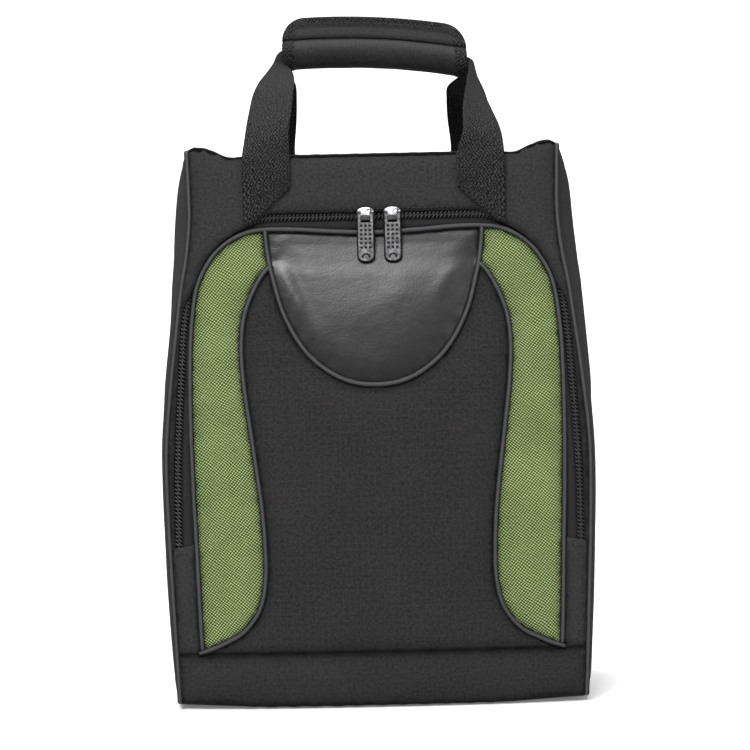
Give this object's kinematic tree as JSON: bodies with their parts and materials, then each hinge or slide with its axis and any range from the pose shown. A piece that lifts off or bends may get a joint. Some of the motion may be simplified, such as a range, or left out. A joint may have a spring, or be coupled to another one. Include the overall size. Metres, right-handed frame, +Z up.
{
  "type": "golf shoe bag",
  "caption": "Upright soft shoe bag with a zipped fold-down front door, green mesh side panels, leather-look shield, webbing carry straps and a padded grip.",
  "frame": {"origin": "centre of the underside of the base, which is what the bag stands on", "axes": "+Z up, -Y the front with the zipped door, +X the right side as seen from the front"},
  "size_m": [0.3016, 0.1564, 0.4685],
  "materials": {
    "shell_fabric": "dark charcoal plain-weave polyester, matte",
    "ripstop": "dark grey ripstop polyester with a fine grid, matte",
    "band_fabric": "dark grey coated polyester, matte",
    "green_mesh": "olive green woven mesh with diagonal rows of small dark openings",
    "leather": "black artificial leather with a soft satin sheen",
    "piping": "smooth dark covered cord with a slight sheen",
    "zip_tape": "near-black herringbone tape, matte",
    "zip_coil": "black nylon coil, slight gloss",
    "webbing": "coarse dark polypropylene webbing",
    "grip_fabric": "dark padded ripstop with a webbing edge",
    "lining": "thin dark lining fabric, matte",
    "base_board": "black polyethylene board",
    "zip_metal": "gunmetal plated zinc with worn bright edges"
  },
  "bodies": {
    "bag": {"base_panel": "band_fabric", "base_board": "base_board", "bottom_band": "band_fabric", "back_panel": "shell_fabric", "back_foam": "lining", "top_panel": "shell_fabric", "left_side_panel": "shell_fabric", "right_side_panel": "shell_fabric", "header_panel": "shell_fabric", "left_side_strip": "shell_fabric", "right_side_strip": "shell_fabric", "left_zip_end_tab": "zip_tape", "right_zip_end_tab": "zip_tape", "lower_centre_panel": "ripstop", "left_lower_mesh": "green_mesh", "right_lower_mesh": "green_mesh", "left_lower_door_piping": "piping", "right_lower_door_piping": "piping", "left_lower_centre_piping": "piping", "right_lower_centre_piping": "piping", "left_front_edge_piping": "piping", "right_front_edge_piping": "piping", "left_back_edge_piping": "piping", "right_back_edge_piping": "piping", "outer_zip_tape": "zip_tape", "outer_zip_coil": "zip_coil", "left_front_strap_foot": "webbing", "right_front_strap_foot": "webbing", "left_back_strap_foot": "webbing", "right_back_strap_foot": "webbing", "left_front_strap": "webbing", "right_front_strap": "webbing"},
    "door": {"door_centre_panel": "ripstop", "leather_shield": "leather", "door_edge_piping": "piping", "shield_piping": "piping", "door_lining": "lining", "left_door_mesh": "green_mesh", "right_door_mesh": "green_mesh", "left_centre_piping": "piping", "right_centre_piping": "piping", "door_zip_tape": "zip_tape", "door_zip_coil": "zip_coil"},
    "left_slider": {"left_zip_slider": "zip_metal"},
    "right_slider": {"right_zip_slider": "zip_metal"},
    "left_pull": {"left_zip_pull": "zip_metal"},
    "right_pull": {"right_zip_pull": "zip_metal"},
    "handle": {"left_back_strap": "webbing", "right_back_strap": "webbing", "grip_pad": "grip_fabric", "strap_core": "webbing", "hook_strip": "zip_tape"},
    "flap": {"grip_flap": "grip_fabric", "loop_strip": "zip_tape"}
  },
  "joints": [
    {"name": "door_open", "type": "hinge", "parent": "bag", "child": "door", "pos_m": [0, -0.07489, 0.10506], "axis": [1, 0, 0], "range_deg": [0, 110]},
    {"name": "left_slider_travel", "type": "slide", "parent": "door", "child": "left_slider", "axis": [-1, 0, 0], "range_m": [0, 0.05]},
    {"name": "right_slider_travel", "type": "slide", "parent": "door", "child": "right_slider", "axis": [1, 0, 0], "range_m": [0, 0.05]},
    {"name": "left_pull_lift", "type": "hinge", "parent": "left_slider", "child": "left_pull", "pos_m": [-0.0052, -0.0681, 0.32556], "axis": [-1, 0, 0], "range_deg": [0, 150]},
    {"name": "right_pull_lift", "type": "hinge", "parent": "right_slider", "child": "right_pull", "pos_m": [0.0128, -0.0681, 0.32556], "axis": [-1, 0, 0], "range_deg": [0, 150]},
    {"name": "handle_fold", "type": "hinge", "parent": "bag", "child": "handle", "pos_m": [0, 0.0646, 0.3699], "axis": [1, 0, 0], "range_deg": [0, 40], "deforming": ["left_front_strap", "right_front_strap"]},
    {"name": "grip_flap_open", "type": "hinge", "parent": "handle", "child": "flap", "pos_m": [0, -0.0037, 0.4541], "axis": [1, 0, 0], "range_deg": [0, 95]}
  ]
}
